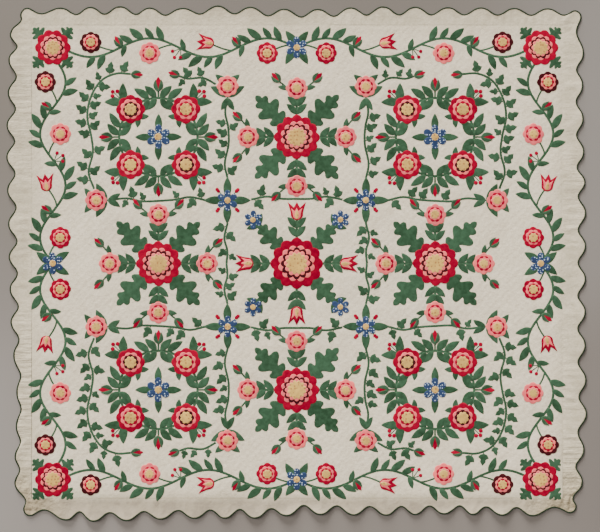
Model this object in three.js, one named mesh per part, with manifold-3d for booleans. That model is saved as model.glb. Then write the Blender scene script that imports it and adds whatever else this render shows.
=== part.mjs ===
// An applique bed quilt, lying face up and flat: a cotton top, thin wadding and a backing, quilted into one
// cloth with a scalloped edge, a narrow green binding, and flowers and foliage cut from cotton and sewn on.
// Millimetres. X runs across the quilt, Y up its length, Z out of its face. The origin is under its middle.
import * as THREE from "three";
import { mergeVertices } from "three/addons/utils/BufferGeometryUtils.js";
import Module from "manifold-3d";

const wasm = await Module();
wasm.setup();

// The cloth
const QUILT_WIDTH = 2730; // over the scallop tips
const QUILT_LENGTH = 2425;
const CORNER_RADIUS = 60;
const POINTS_PER_SCALLOP = 6;
const PUFF_THICKNESS = 5.5; // in the middle of each quilted diamond
const STITCHED_THICKNESS = 3.6; // along the quilting lines
const QUILTED_WIDTH = 2480; // the field that is quilted in diamonds, which lies flat
const QUILTED_LENGTH = 2236;
const DIAMONDS_ACROSS = 32; // crossings of the quilting lines, along X
const DIAMONDS_DOWN = 28;
const FLAT_MARGIN = 40; // from the rim of the flat underside to its middle, which is one face
const BINDING_WIDTH = 6;
const BINDING_THICKNESS = 4.8;
const CLEARANCE = 0.3; // between one piece and the next

// The applique
const PATCH_THICKNESS = 0.7; // a cotton patch with its edge turned under
const BLOCK_PITCH_X = 650;
const BLOCK_PITCH_Y = 594;
const WREATH_RADIUS = 184;
const WREATH_ROSE_RADIUS = 68;
const CROSS_ROSE_RADIUS = 106;
const CENTRE_ROSE_RADIUS = 122;
const CORNER_ROSE_RADIUS = 84;
const STEM_WIDTH = 10;
const VINE_X = 1146; // middle line of the side borders
const VINE_Y = 1014; // middle line of the top and bottom borders
const VINE_WAVES = 4; // half waves from the middle of a side to its corner
const VINE_SWING_SIDE = 60;
const VINE_SWING_END = 44;
const VINE_END = 40; // from the last of a vine to the middle of the corner rose

// The hand-cut edge, side by side and counter-clockwise. Lift is how high the scallops' tips stand off the
// surface. Along is a share of the side. There the tips lie inward of a true rectangle and slide along from
// even spacing, and depth is from a tip to its hollow.
const SIDES = [
  {
    name: "bottom",
    scallops: 17,
    lift: 13,
    rows: [
      { along: 0, inward: 16, slide: 0, depth: 40 },
      { along: 0.06, inward: 5, slide: 43, depth: 40 },
      { along: 0.12, inward: 0, slide: 21, depth: 38 },
      { along: 0.3, inward: 12, slide: 38, depth: 38 },
      { along: 0.42, inward: 14, slide: 16, depth: 40 },
      { along: 0.5, inward: 32, slide: 18, depth: 40 },
      { along: 0.64, inward: 27, slide: 24, depth: 40 },
      { along: 0.78, inward: 34, slide: -10, depth: 36 },
      { along: 0.86, inward: 29, slide: -42, depth: 36 },
      { along: 0.94, inward: 25, slide: -52, depth: 36 },
      { along: 1, inward: 30, slide: 0, depth: 36 },
    ],
  },
  {
    name: "right",
    scallops: 15,
    lift: 4,
    rows: [
      { along: 0, inward: 41, slide: 0, depth: 34 },
      { along: 0.06, inward: 20, slide: -15, depth: 34 },
      { along: 0.13, inward: 12, slide: -22, depth: 34 },
      { along: 0.2, inward: 0, slide: -9, depth: 34 },
      { along: 0.34, inward: 6, slide: 0, depth: 34 },
      { along: 0.62, inward: 4, slide: -7, depth: 34 },
      { along: 0.73, inward: 13, slide: -33, depth: 32 },
      { along: 0.86, inward: 18, slide: -34, depth: 30 },
      { along: 0.93, inward: 14, slide: -41, depth: 30 },
      { along: 1, inward: 18, slide: 0, depth: 30 },
    ],
  },
  {
    name: "top",
    scallops: 17,
    lift: 3,
    rows: [
      { along: 0, inward: 14, slide: 0, depth: 28 },
      { along: 0.06, inward: 13, slide: 0, depth: 30 },
      { along: 0.23, inward: 8, slide: 6, depth: 33 },
      { along: 0.35, inward: 4, slide: 2, depth: 36 },
      { along: 0.5, inward: 17, slide: 0, depth: 34 },
      { along: 0.65, inward: 0, slide: 6, depth: 34 },
      { along: 0.72, inward: 13, slide: 22, depth: 30 },
      { along: 0.83, inward: 3, slide: 0, depth: 34 },
      { along: 0.94, inward: 10, slide: -28, depth: 30 },
      { along: 1, inward: 2, slide: 0, depth: 30 },
    ],
  },
  {
    name: "left",
    scallops: 16,
    lift: 5,
    rows: [
      { along: 0, inward: 60, slide: 0, depth: 34 },
      { along: 0.05, inward: 18, slide: -24, depth: 34 },
      { along: 0.12, inward: 11, slide: -55, depth: 34 },
      { along: 0.29, inward: 0, slide: -47, depth: 36 },
      { along: 0.5, inward: 12, slide: -23, depth: 36 },
      { along: 0.62, inward: 20, slide: -14, depth: 34 },
      { along: 0.76, inward: 48, slide: 21, depth: 19 },
      { along: 0.83, inward: 45, slide: 28, depth: 19 },
      { along: 0.92, inward: 35, slide: 8, depth: 25 },
      { along: 1, inward: 72, slide: 0, depth: 30 },
    ],
  },
];

const FABRICS = {
  ground: { color: 0xd0c8bc, roughness: 0.95 },
  binding: { color: 0x3c4a38, roughness: 0.9 },
  green: { color: 0x3f6b4c, roughness: 0.92 },
  red: { color: 0xb5102f, roughness: 0.9 },
  pink: { color: 0xe08c8c, roughness: 0.92 },
  tan: { color: 0xd8bf86, roughness: 0.93 },
};
const CLOTH = Object.fromEntries(
  Object.entries(FABRICS).map(([name, look]) => [name, new THREE.MeshStandardMaterial({ ...look, metalness: 0 })]),
);

const group = new THREE.Group();

function addMesh(name, geometry, cloth) {
  geometry.computeVertexNormals();
  const mesh = new THREE.Mesh(geometry, cloth);
  mesh.name = name;
  group.add(mesh);
}

// Edge of the cloth

// A value read from rows that are spaced along a side, easing from each row to the next.
function between(rows, along, key) {
  const next = Math.max(1, rows.findIndex((row) => row.along >= along));
  const [from, to] = [rows[next - 1], rows[next]];
  const t = (along - from.along) / (to.along - from.along);
  return from[key] + (to[key] - from[key]) * t * t * (3 - 2 * t);
}

// A point of a rounded rectangle's side, from one corner's diagonal to the next, with its outward direction.
function sidePoint(side, along) {
  const turned = side % 2 === 1;
  const halfLong = (turned ? QUILT_LENGTH : QUILT_WIDTH) / 2;
  const halfShort = (turned ? QUILT_WIDTH : QUILT_LENGTH) / 2;
  const arc = (Math.PI / 4) * CORNER_RADIUS;
  const straight = 2 * (halfLong - CORNER_RADIUS);
  const distance = along * (straight + 2 * arc);
  const past = distance < arc ? distance - arc : Math.max(0, distance - arc - straight);
  const angle = -Math.PI / 2 + past / CORNER_RADIUS;
  const middle = Math.min(Math.max(distance - arc, 0), straight) - straight / 2;
  const outward = new THREE.Vector2(Math.cos(angle), Math.sin(angle));
  const point = new THREE.Vector2(middle, CORNER_RADIUS - halfShort).addScaledVector(outward, CORNER_RADIUS);
  const turn = (side * Math.PI) / 2;
  const origin = new THREE.Vector2();
  return { point: point.rotateAround(origin, turn), outward: outward.rotateAround(origin, turn) };
}

// The scalloped edge, counter-clockwise from the lower left corner tip.
function scallopedEdge() {
  const edge = [];
  SIDES.forEach(({ scallops, lift, rows }, side) => {
    const before = SIDES[(side + 3) % 4].rows.at(-1);
    const after = SIDES[(side + 1) % 4].rows[0];
    const length = side % 2 === 1 ? QUILT_LENGTH : QUILT_WIDTH;
    for (let i = 0; i < scallops * POINTS_PER_SCALLOP; i++) {
      const along = i / (scallops * POINTS_PER_SCALLOP);
      const { point, outward } = sidePoint(side, along + between(rows, along, "slide") / length);
      // The tips are rounder than the hollows.
      const turn = 2 * Math.PI * scallops * along;
      const wave = Math.cos(turn) + 0.2 * Math.sin(turn) ** 2;
      point.addScaledVector(outward, (between(rows, along, "depth") / 2) * (wave - 1));
      // Each corner moves in with both of its sides.
      const inward = new THREE.Vector2(before.inward * (1 - along) - after.inward * along, 0);
      inward.y = between(rows, along, "inward");
      point.add(inward.rotateAround(new THREE.Vector2(), (side * Math.PI) / 2));
      const slow = 0.62 + 0.38 * Math.sin(Math.PI * (5.1 * along + 0.7 * side));
      const nearEnd = Math.sin((Math.PI / 2) * Math.min(1, 8 * Math.min(along, 1 - along)));
      edge.push({ point, lift: lift * slow * (0.6 + 0.4 * wave) * nearEnd, first: i === 0 });
    }
  });
  const middle = new THREE.Box2().setFromPoints(edge.map((e) => e.point)).getCenter(new THREE.Vector2());
  edge.forEach((e) => e.point.sub(middle));
  edge.forEach((e, i) => {
    const along = edge[(i + 1) % edge.length].point.clone().sub(edge.at(i - 1).point).normalize();
    e.outward = new THREE.Vector2(along.y, -along.x);
  });
  return edge;
}

const EDGE = scallopedEdge();
const FIRST_OF_SIDE = EDGE.flatMap((e, i) => (e.first ? [i] : []));

// The quilted cloth: one solid, its face raised in diamonds between the quilting lines.
function quiltGeometry() {
  const positions = [];
  const triangles = [];
  const vertex = (x, y, z) => positions.push(x, y, z) / 3 - 1;

  const lattice = Array.from({ length: DIAMONDS_DOWN + 1 }, (_, j) =>
    Array.from({ length: DIAMONDS_ACROSS + 1 }, (_, i) => {
      const atRim = i === 0 || j === 0 || i === DIAMONDS_ACROSS || j === DIAMONDS_DOWN;
      const puffed = (i + j) % 2 === 1 && !atRim;
      const uneven = 0.25 * Math.sin(2.1 * i + 0.7 * j) - 0.25;
      const x = (i / DIAMONDS_ACROSS - 0.5) * QUILTED_WIDTH;
      const y = (j / DIAMONDS_DOWN - 0.5) * QUILTED_LENGTH;
      return vertex(x, y, puffed ? PUFF_THICKNESS + uneven : STITCHED_THICKNESS);
    }),
  );
  for (let j = 0; j < DIAMONDS_DOWN; j++) {
    for (let i = 0; i < DIAMONDS_ACROSS; i++) {
      const [a, b, c, d] = [lattice[j][i], lattice[j][i + 1], lattice[j + 1][i + 1], lattice[j + 1][i]];
      if ((i + j) % 2 === 0) triangles.push(a, b, c, a, c, d);
      else triangles.push(a, b, d, b, c, d);
    }
  }

  const inset = BINDING_WIDTH + CLEARANCE;
  const rim = (height) =>
    EDGE.map((e) => {
      const p = e.point.clone().addScaledVector(e.outward, -inset);
      return vertex(p.x, p.y, e.lift + height);
    });
  const top = rim(STITCHED_THICKNESS);
  const bottom = rim(0);
  const halfX = QUILTED_WIDTH / 2;
  const halfY = QUILTED_LENGTH / 2;
  // The underside is flat within the field. Its rim has one point inward of each scallop's tip.
  const within = (value, half) => Math.max(-half, Math.min(half, value));
  const foot = EDGE.filter((_, i) => i % POINTS_PER_SCALLOP === 0).map(({ point }) =>
    vertex(within(point.x, halfX), within(point.y, halfY), 0),
  );
  const [flatX, flatY] = [halfX - FLAT_MARGIN, halfY - FLAT_MARGIN];
  const flat = [[-flatX, -flatY], [flatX, -flatY], [flatX, flatY], [-flatX, flatY]].map(([x, y]) => vertex(x, y, 0));
  triangles.push(flat[0], flat[2], flat[1], flat[0], flat[3], flat[2]);

  // Fills the strip between a stretch of the outer rim and a stretch of an inner line, by the shorter diagonals.
  const apart = (a, b) => Math.hypot(positions[3 * a] - positions[3 * b], positions[3 * a + 1] - positions[3 * b + 1]);
  const zip = (outer, inner, facesUp) => {
    let [i, j] = [0, 0];
    while (i < outer.length - 1 || j < inner.length - 1) {
      const outerFirst = apart(outer[i + 1], inner[j]) <= apart(outer[i], inner[j + 1]);
      const stepOuter = j === inner.length - 1 || (i < outer.length - 1 && outerFirst);
      const triangle = stepOuter ? [outer[i], outer[i + 1], inner[j]] : [outer[i], inner[j + 1], inner[j]];
      triangles.push(...(facesUp ? triangle : triangle.reverse()));
      if (stepOuter) i++;
      else j++;
    }
  };
  const column = (i) => lattice.map((row) => row[i]);
  const latticeSide = [lattice[0], column(DIAMONDS_ACROSS), lattice.at(-1).slice().reverse(), column(0).reverse()];
  FIRST_OF_SIDE.forEach((first, side) => {
    const last = FIRST_OF_SIDE[side + 1] ?? EDGE.length;
    const stretch = (loop, step = 1) => {
      const end = last / step;
      return [...loop.slice(first / step, end), loop[end % loop.length]];
    };
    zip(stretch(top), latticeSide[side], true);
    zip(stretch(bottom), stretch(foot, POINTS_PER_SCALLOP), false);
    zip(stretch(foot, POINTS_PER_SCALLOP), [flat[side], flat[(side + 1) % 4]], false);
  });
  EDGE.forEach((_, i) => {
    const next = (i + 1) % EDGE.length;
    triangles.push(bottom[i], bottom[next], top[next], bottom[i], top[next], top[i]);
  });
  const geometry = new THREE.BufferGeometry();
  geometry.setAttribute("position", new THREE.Float32BufferAttribute(positions, 3));
  geometry.setIndex(triangles);
  return geometry;
}

addMesh("quilt", quiltGeometry(), CLOTH.ground);

// The binding: one strip for each side, butted at the corner tips.
function bindingGeometry(side) {
  const first = FIRST_OF_SIDE[side];
  const last = FIRST_OF_SIDE[side + 1] ?? EDGE.length;
  const positions = [];
  const triangles = [];
  const sections = last - first + 1;
  for (let k = 0; k < sections; k++) {
    const e = EDGE[(first + k) % EDGE.length];
    const atEnd = k === 0 || k === sections - 1;
    const forward = new THREE.Vector2(-e.outward.y, e.outward.x);
    const trim = atEnd ? (k === 0 ? 1 : -1) * (CLEARANCE / 2) : 0;
    const outer = e.point.clone().addScaledVector(forward, trim);
    const inner = outer.clone().addScaledVector(e.outward, -BINDING_WIDTH);
    for (const [p, z] of [[inner, 0], [outer, 0], [outer, BINDING_THICKNESS], [inner, BINDING_THICKNESS]]) {
      positions.push(p.x, p.y, e.lift + z);
    }
  }
  for (let k = 0; k < sections - 1; k++) {
    for (let corner = 0; corner < 4; corner++) {
      const [a, b] = [4 * k + corner, 4 * k + ((corner + 1) % 4)];
      triangles.push(a, a + 4, b, b, a + 4, b + 4);
    }
  }
  const end = 4 * (sections - 1);
  triangles.push(0, 1, 2, 0, 2, 3, end, end + 2, end + 1, end, end + 3, end + 2);
  const geometry = new THREE.BufferGeometry();
  geometry.setAttribute("position", new THREE.Float32BufferAttribute(positions, 3));
  geometry.setIndex(triangles);
  return geometry;
}

SIDES.forEach(({ name }, side) => addMesh(`binding_${name}`, bindingGeometry(side), CLOTH.binding));

// Outlines of the applique patches, each with its root at the origin and pointing along +X

// A pointed leaf, whose middle may bow to one side.
function leaf(length, width, bow = 0, stations = 3) {
  const rows = Array.from({ length: stations + 1 }, (_, i) => {
    const t = i / stations;
    const half = 0.5 * width * Math.sin(Math.PI * t ** 0.86) ** 0.8;
    return { x: t * length, half, middle: bow * width * Math.sin(Math.PI * t) };
  });
  const upper = rows.map((row) => new THREE.Vector2(row.x, row.middle + row.half));
  const lower = rows.slice(1, -1).map((row) => new THREE.Vector2(row.x, row.middle - row.half));
  return [...upper, ...lower.reverse()];
}

// Half of a lobed leaf from its foot to its tip, as shares of its length and width.
const LOBED_LEAF = [
  { along: 0.06, half: 0.05 },
  { along: 0.2, half: 0.38 },
  { along: 0.34, half: 0.15 },
  { along: 0.52, half: 0.5 },
  { along: 0.66, half: 0.16 },
  { along: 0.82, half: 0.34 },
];

// Its stalk runs back from its foot, out of sight under a flower.
function lobedLeaf(length, width, stalk) {
  const halfStalk = STEM_WIDTH / 2;
  const upper = LOBED_LEAF.map((row) => new THREE.Vector2(row.along * length, row.half * width));
  const lower = upper.map((p) => new THREE.Vector2(p.x, -p.y));
  const ends = [new THREE.Vector2(-stalk, halfStalk), new THREE.Vector2(-stalk, -halfStalk)];
  return [...ends, ...lower, new THREE.Vector2(length, 0), ...upper.reverse()];
}

// A round flower with rounded petals.
function rosette(radius, petals, notch, turn = 0, pointsPerPetal = 2) {
  return Array.from({ length: petals * pointsPerPetal }, (_, i) => {
    const angle = (2 * Math.PI * i) / (petals * pointsPerPetal);
    const r = radius * (1 - notch + notch * Math.abs(Math.cos((petals * angle) / 2)) ** 0.75);
    return new THREE.Vector2(r * Math.cos(angle + turn), r * Math.sin(angle + turn));
  });
}

// A bias-cut stem of even width along a line.
function stem(line, width) {
  const sides = line.map((p, i) => {
    const along = line[Math.min(i + 1, line.length - 1)].clone().sub(line[Math.max(i - 1, 0)]).normalize();
    const across = new THREE.Vector2(-along.y, along.x).multiplyScalar(width / 2);
    return { left: p.clone().add(across), right: p.clone().sub(across) };
  });
  return [...sides.map((s) => s.right), ...sides.map((s) => s.left).reverse()];
}

function placed(outline, x, y, angle) {
  const origin = new THREE.Vector2();
  return outline.map((p) => p.clone().rotateAround(origin, angle).add(new THREE.Vector2(x, y)));
}

function polar(x, y, radius, angle) {
  return new THREE.Vector2(x + radius * Math.cos(angle), y + radius * Math.sin(angle));
}

// A patch is laid in a layer of the applique: stems and leaves lowest, the middle of a rose highest.
function patchGeometry(outline, layer) {
  const geometry = new THREE.ExtrudeGeometry(new THREE.Shape(outline), { depth: PATCH_THICKNESS, bevelEnabled: false });
  return geometry.translate(0, 0, PUFF_THICKNESS + CLEARANCE + layer * (PATCH_THICKNESS + CLEARANCE));
}

function solidOf(geometry) {
  const bare = geometry.clone();
  bare.deleteAttribute("normal");
  bare.deleteAttribute("uv");
  const merged = mergeVertices(bare, 1e-4);
  const vertProperties = merged.attributes.position.array;
  return new wasm.Manifold(new wasm.Mesh({ numProp: 3, vertProperties, triVerts: new Uint32Array(merged.index.array) }));
}

// Patches of one colour that touch are sewn down as one piece of foliage.
function joinedGeometry(outlines, layer) {
  const solid = outlines
    .map((outline) => solidOf(patchGeometry(outline, layer)))
    .reduce((whole, next) => whole.add(next))
    .asOriginal()
    .simplify(0.05);
  const mesh = solid.getMesh();
  const geometry = new THREE.BufferGeometry();
  geometry.setAttribute("position", new THREE.BufferAttribute(mesh.vertProperties, 3));
  geometry.setIndex(new THREE.BufferAttribute(mesh.triVerts, 1));
  return geometry;
}

// A rose of three stacked rounds, the middle one nearly round.
function layeredRose(name, x, y, radius, petals) {
  const rounds = [
    { cloth: "red", share: 1, notch: 0.13, turn: 0, points: 2 },
    { cloth: "pink", share: 0.74, notch: 0.15, turn: Math.PI / petals, points: 2 },
    { cloth: "tan", share: 0.38, notch: 0.06, turn: 0, points: 1 },
  ];
  rounds.forEach(({ cloth, share, notch, turn, points }, i) => {
    const outline = placed(rosette(radius * share, petals, notch, turn, points), x, y, 0);
    addMesh(`${name}_${cloth}`, patchGeometry(outline, i + 1), CLOTH[cloth]);
  });
}

// Corner blocks: a wreath with a rose on each diagonal and pairs of leaves along its ring.
const WREATH_LEAVES = [
  { turn: 0.05, length: 78 },
  { turn: 0.24, length: 86 },
];

function wreathBlock(name, x, y) {
  const ring = Array.from({ length: 17 }, (_, i) => polar(x, y, WREATH_RADIUS, (i * Math.PI) / 8));
  const outlines = [ring.slice(0, 9), ring.slice(8)].map((line) => stem(line, STEM_WIDTH));
  for (let quarter = 0; quarter < 4; quarter++) {
    const axis = (quarter * Math.PI) / 2;
    const diagonal = axis + Math.PI / 4;
    for (const way of [-1, 1]) {
      for (const { turn, length } of WREATH_LEAVES) {
        const root = polar(x, y, WREATH_RADIUS, axis + way * turn);
        outlines.push(placed(leaf(length, 36, -0.08 * way), root.x, root.y, axis + way * (turn + 0.72)));
      }
    }
    const rose = polar(x, y, WREATH_RADIUS, diagonal);
    const petals = rosette(WREATH_ROSE_RADIUS, 8, 0.13, diagonal);
    addMesh(`${name}_rose_${quarter + 1}`, patchGeometry(placed(petals, rose.x, rose.y, 0), 1), CLOTH.red);
  }
  addMesh(`${name}_leaves`, joinedGeometry(outlines, 0), CLOTH.green);
}

// Side blocks: a large rose with lobed leaves on the diagonals and leafy stems on the axes.
const CROSS_LEAVES = [
  { from: 108, length: 68 },
  { from: 146, length: 62 },
];

function crossBlock(name, x, y) {
  const outlines = [];
  for (let quarter = 0; quarter < 4; quarter++) {
    const axis = (quarter * Math.PI) / 2;
    const foot = polar(x, y, 70, axis + Math.PI / 4);
    outlines.push(stem([new THREE.Vector2(x, y), polar(x, y, 215, axis)], STEM_WIDTH));
    outlines.push(placed(lobedLeaf(206, 124, 70), foot.x, foot.y, axis + Math.PI / 4));
    for (const way of [-1, 1]) {
      for (const { from, length } of CROSS_LEAVES) {
        const root = polar(x, y, from, axis);
        outlines.push(placed(leaf(length, 30, -0.08 * way), root.x, root.y, axis + way * 0.78));
      }
    }
  }
  addMesh(`${name}_leaves`, joinedGeometry(outlines, 0), CLOTH.green);
  layeredRose(`${name}_rose`, x, y, CROSS_ROSE_RADIUS, 12);
}

// The middle block: the largest rose, with eight leafy stems.
const CENTRE_LEAVES = [
  { from: 128, length: 64 },
  { from: 168, length: 66 },
];

function centreBlock(name, x, y) {
  const outlines = [];
  for (let quarter = 0; quarter < 4; quarter++) {
    const axis = (quarter * Math.PI) / 2;
    const diagonal = axis + Math.PI / 4;
    const foot = polar(x, y, 88, diagonal);
    outlines.push(stem([new THREE.Vector2(x, y), polar(x, y, 215, axis)], STEM_WIDTH));
    outlines.push(stem([new THREE.Vector2(x, y), polar(x, y, 280, diagonal)], STEM_WIDTH));
    outlines.push(placed(lobedLeaf(176, 104, 20), foot.x, foot.y, diagonal));
    for (const way of [-1, 1]) {
      for (const { from, length } of CENTRE_LEAVES) {
        const root = polar(x, y, from, axis);
        outlines.push(placed(leaf(length, 30, -0.08 * way), root.x, root.y, axis + way * 0.72));
      }
    }
  }
  addMesh(`${name}_leaves`, joinedGeometry(outlines, 0), CLOTH.green);
  layeredRose(`${name}_rose`, x, y, CENTRE_ROSE_RADIUS, 12);
}

const COLUMNS = [-BLOCK_PITCH_X, 0, BLOCK_PITCH_X];
const ROWS = [-BLOCK_PITCH_Y, 0, BLOCK_PITCH_Y];
COLUMNS.forEach((x, column) =>
  ROWS.forEach((y, row) => {
    const place = `${"abc"[column]}${row + 1}`;
    if (column === 1 && row === 1) centreBlock(`centre_${place}`, x, y);
    else if ((column + row) % 2 === 0) wreathBlock(`wreath_${place}`, x, y);
    else crossBlock(`cross_${place}`, x, y);
  }),
);

// Between the blocks: a small cross of four leaves.
function leafCross(name, x, y) {
  const outlines = [0, 1, 2, 3].map((quarter) => {
    const root = polar(x, y, 16, (quarter * Math.PI) / 2);
    return placed(leaf(94, 38), root.x, root.y, (quarter * Math.PI) / 2);
  });
  outlines.push(rosette(30, 4, 0.1, 0, 1).map((p) => p.add(new THREE.Vector2(x, y))));
  addMesh(name, joinedGeometry(outlines, 0), CLOTH.green);
}

// The border: a wavy vine along each side, from corner to corner, with leaves on its crests.
const VINE_LEAVES = [
  { along: 0.26, length: 78 },
  { along: 0.6, length: 84 },
];

function vineSide(name, distance, halfLength, swing, turn) {
  const outlines = [];
  const wave = (along) => swing * Math.sin(Math.PI * VINE_WAVES * along);
  const steps = VINE_WAVES * 4;
  for (const way of [-1, 1]) {
    const at = (u, v) => new THREE.Vector2(way * u, distance + v).rotateAround(new THREE.Vector2(), turn);
    const line = Array.from({ length: steps + 1 }, (_, i) => at((halfLength * i) / steps, wave(i / steps)));
    outlines.push(stem(line, STEM_WIDTH));
    for (let half = 0; half < VINE_WAVES; half++) {
      const up = half % 2 === 0 ? 1 : -1;
      for (const { along, length } of VINE_LEAVES) {
        if (half === VINE_WAVES - 1 && along > 0.5) continue;
        const share = (half + along) / VINE_WAVES;
        const rise = ((swing * Math.PI * VINE_WAVES) / halfLength) * Math.cos(Math.PI * VINE_WAVES * share);
        const angle = Math.atan(rise) + up * 0.8;
        const root = at(halfLength * share, wave(share));
        const direction = turn + (way > 0 ? angle : Math.PI - angle);
        outlines.push(placed(leaf(length, 0.42 * length, -0.08 * up * way), root.x, root.y, direction));
      }
    }
  }
  addMesh(name, joinedGeometry(outlines, 0), CLOTH.green);
}

for (const [i, x] of [-1, 1].entries()) {
  for (const [j, y] of [-1, 1].entries()) {
    leafCross(`leaf_cross_${i + 1}${j + 1}`, (x * BLOCK_PITCH_X) / 2, (y * BLOCK_PITCH_Y) / 2);
    const petals = placed(rosette(CORNER_ROSE_RADIUS, 10, 0.13), x * VINE_X, y * VINE_Y, 0);
    addMesh(`corner_rose_${i + 1}${j + 1}`, patchGeometry(petals, 1), CLOTH.red);
  }
}

const BORDERS = [
  { name: "vine_top", distance: VINE_Y, half: VINE_X - VINE_END, swing: VINE_SWING_END, turn: 0 },
  { name: "vine_left", distance: VINE_X, half: VINE_Y - VINE_END, swing: VINE_SWING_SIDE, turn: Math.PI / 2 },
  { name: "vine_bottom", distance: VINE_Y, half: VINE_X - VINE_END, swing: VINE_SWING_END, turn: Math.PI },
  { name: "vine_right", distance: VINE_X, half: VINE_Y - VINE_END, swing: VINE_SWING_SIDE, turn: -Math.PI / 2 },
];
BORDERS.forEach((b) => vineSide(b.name, b.distance, b.half, b.swing, b.turn));

export default group;
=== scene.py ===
import math
from functools import partial

import bpy
import numpy as np
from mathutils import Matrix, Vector
from mathutils.geometry import delaunay_2d_cdt


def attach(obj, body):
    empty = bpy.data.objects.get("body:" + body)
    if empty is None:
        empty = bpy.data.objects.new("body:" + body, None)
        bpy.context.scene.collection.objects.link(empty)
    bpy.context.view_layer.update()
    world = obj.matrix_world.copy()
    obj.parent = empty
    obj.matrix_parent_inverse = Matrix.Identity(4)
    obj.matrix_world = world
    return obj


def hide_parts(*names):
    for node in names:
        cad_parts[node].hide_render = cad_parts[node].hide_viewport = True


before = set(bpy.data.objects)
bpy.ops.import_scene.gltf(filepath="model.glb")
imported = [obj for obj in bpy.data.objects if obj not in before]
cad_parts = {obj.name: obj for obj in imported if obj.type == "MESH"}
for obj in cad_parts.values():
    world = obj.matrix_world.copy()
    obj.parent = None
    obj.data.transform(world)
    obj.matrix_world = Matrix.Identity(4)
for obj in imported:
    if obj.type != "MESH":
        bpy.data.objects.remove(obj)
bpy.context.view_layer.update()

# Camera: straight above the quilt and square to it. The frame is 600 pixels wide and takes in 2821 mm
# at the cloth, with the quilt a little left of its middle and a little above it.
SENSOR_MM = 36
LENS_MM = 85
FRAME_WIDTH_MM = 2821
camera_data = bpy.data.cameras.new("camera")
camera_data.lens = LENS_MM
camera_data.sensor_width = SENSOR_MM
camera = bpy.data.objects.new("camera", camera_data)
camera.location = (0.0155, -0.012, FRAME_WIDTH_MM * LENS_MM / SENSOR_MM / 1000)
bpy.context.collection.objects.link(camera)
bpy.context.scene.camera = camera


# Floor: a plain painted studio floor under the quilt, warm grey and matte.
# Its soft mottling is that of rolled emulsion paint.
def linear(hex_colour):
    """An sRGB hex colour as linear red, green, blue and alpha."""
    parts = [int(hex_colour[i : i + 2], 16) / 255 for i in (1, 3, 5)]
    return (*[c / 12.92 if c <= 0.04045 else ((c + 0.055) / 1.055) ** 2.4 for c in parts], 1)


# These kinds of node have a main setting, which follows a point in the name of the kind.
MAIN_SETTINGS = {
    "Math": "operation",
    "VectorMath": "operation",
    "MapRange": "interpolation_type",
    "Mix": "data_type",
}


def add_node(tree, kind, *inputs, output=None, sockets=None, **settings):
    """Adds one node, and gives its named output or else its first.

    Settings are the node's own properties. The inputs fill its sockets in order, and sockets fills them by
    name. Each is a number, a vector, a hex colour or the output of another node.
    """
    kind, _, choice = kind.partition(".")
    if choice:
        settings[MAIN_SETTINGS[kind]] = choice
    made = tree.nodes.new("ShaderNode" + kind)
    for name, value in settings.items():
        setattr(made, name, value)
    fed = list(zip([socket for socket in made.inputs if socket.enabled], inputs))
    fed += [(made.inputs[name], value) for name, value in (sockets or {}).items()]
    for socket, value in fed:
        if isinstance(value, bpy.types.NodeSocket):
            tree.links.new(value, socket)
        else:
            socket.default_value = linear(value) if isinstance(value, str) else value
    return made.outputs[output] if output else next((s for s in made.outputs if s.enabled), None)


def new_material(name):
    """An empty material, the function that adds a node to it, and the place on the quilt in metres."""
    material = bpy.data.materials.new(name)
    material.use_nodes = True
    tree = material.node_tree
    tree.nodes.clear()
    return material, partial(add_node, tree), add_node(tree, "TexCoord", output="Object")


def add_object(name, vertices_mm, faces, material):
    """Makes a mesh object from millimetres, smooth shaded."""
    mesh = bpy.data.meshes.new(name)
    mesh.from_pydata([tuple(v) for v in np.asarray(vertices_mm) / 1000], [], faces)
    mesh.materials.append(material)
    mesh.polygons.foreach_set("use_smooth", [True] * len(mesh.polygons))
    made = bpy.data.objects.new(name, mesh)
    bpy.context.collection.objects.link(made)
    return made


# A noise's scale is one metre over the size of its patches, here and in the cloths.
paint, node, place = new_material("emulsion_painted_floor")
mottle = node("TexNoise", place, 1.3, 3)
tone = node("Mix.RGBA", mottle, "#655c54", "#78716a")
# Painted light and shade: lighter towards the lower left and upper right, darker at the upper left, top and
# lower right.
for middle, reach, painted_light_or_shade in [
    ((-2.0, -1.0, 0), 1.7, "#8a837c"),
    ((-1.9, 0.8, 0), 1.5, "#635b50"),
    ((0.35, 1.9, 0), 2.0, "#5f574d"),
    ((1.9, 0.8, 0), 1.5, "#7b756e"),
    ((1.9, -1.0, 0), 1.3, "#615952"),
]:
    away = node("VectorMath.DISTANCE", place, middle)
    spread = node("MapRange.SMOOTHSTEP", away, reach, 0.1 * reach, 0, 0.75)
    tone = node("Mix.RGBA", spread, tone, painted_light_or_shade)
node("OutputMaterial", node("BsdfPrincipled", sockets={"Base Color": tone, "Roughness": 0.85, "IOR": 1.5}))
FLOOR_MM = 30000
corners = [(-1, -1), (1, -1), (1, 1), (-1, 1)]
floor = add_object("floor", [(x * FLOOR_MM, y * FLOOR_MM, -0.5) for x, y in corners], [(0, 1, 2, 3)], paint)

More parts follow.
